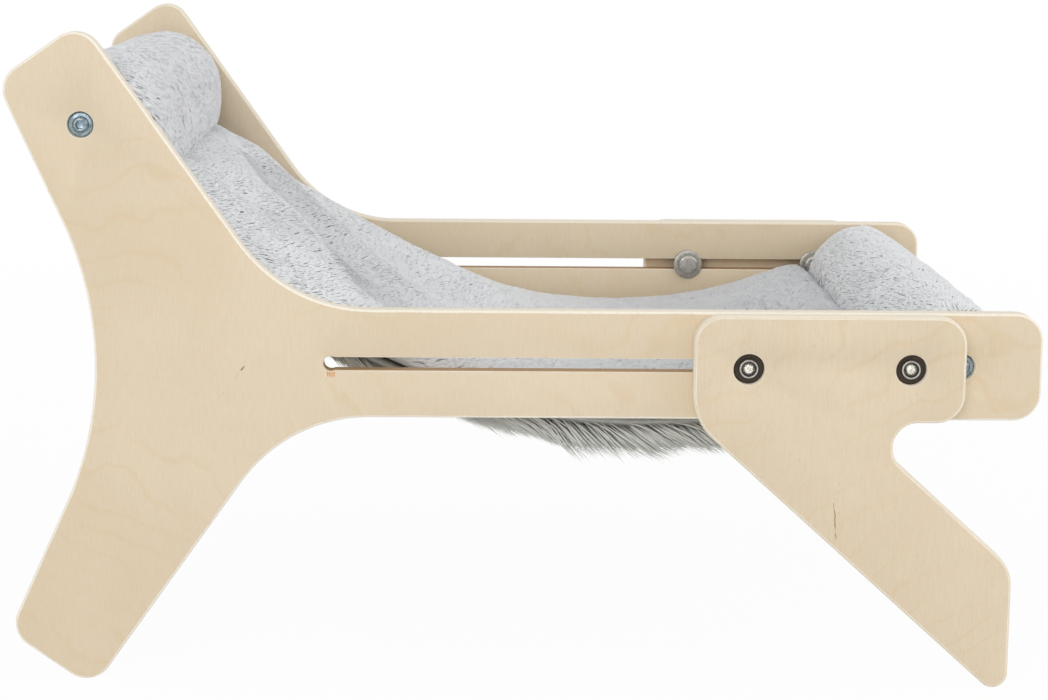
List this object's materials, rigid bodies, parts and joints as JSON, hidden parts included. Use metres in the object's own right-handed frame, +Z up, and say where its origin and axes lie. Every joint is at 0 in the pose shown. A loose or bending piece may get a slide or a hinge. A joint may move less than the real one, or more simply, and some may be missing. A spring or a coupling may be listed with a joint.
{
  "type": "cat hammock",
  "caption": "Free-standing cat hammock: Y-shaped plywood side panels with slots, sliding clamped front legs, and a plush bed slung between two rolled crossbars.",
  "frame": {"origin": "on the floor under the middle of the bounding box", "axes": "+X to the low front end, +Y to the left side, +Z up"},
  "size_m": [0.51, 0.3604, 0.3236],
  "materials": {
    "birch": "sanded birch plywood, matte, pale edges",
    "beech": "turned hardwood dowel, unfinished",
    "zinc": "blue zinc plating",
    "nickel": "dull nickel plating",
    "brass": "plain turned brass",
    "black": "matte black",
    "plush": "long-pile plush, light blue grey",
    "under_plush": "shaggy long-pile plush, mid grey"
  },
  "bodies": {
    "frame": {"right_side_panel": "birch", "left_side_panel": "birch", "rear_crossbar": "beech", "front_crossbar": "beech", "rear_bar_inserts": "brass", "front_bar_inserts": "brass", "rear_right_bolt": "zinc", "rear_left_bolt": "zinc", "front_right_bolt": "zinc", "front_left_bolt": "zinc", "rear_roll_cover": "plush", "front_roll_cover": "plush", "bed_top_ply": "plush", "bed_under_ply": "under_plush"},
    "right_leg": {"right_leg_plate": "birch", "right_rear_clamp_bolt": "nickel", "right_front_clamp_bolt": "nickel", "right_rear_inner_washer": "nickel", "right_front_inner_washer": "nickel", "right_rear_outer_washer": "black", "right_front_outer_washer": "black", "right_rear_sleeve_nut": "nickel", "right_front_sleeve_nut": "nickel"},
    "left_leg": {"left_leg_plate": "birch", "left_rear_clamp_bolt": "nickel", "left_front_clamp_bolt": "nickel", "left_rear_inner_washer": "nickel", "left_front_inner_washer": "nickel", "left_rear_outer_washer": "black", "left_front_outer_washer": "black", "left_rear_sleeve_nut": "nickel", "left_front_sleeve_nut": "nickel"}
  },
  "joints": [
    {"name": "right_leg_slide", "type": "slide", "parent": "frame", "child": "right_leg", "axis": [1, 0, 0], "range_m": [-0.204, 0.001]},
    {"name": "left_leg_slide", "type": "slide", "parent": "frame", "child": "left_leg", "axis": [1, 0, 0], "range_m": [-0.204, 0.001]}
  ]
}
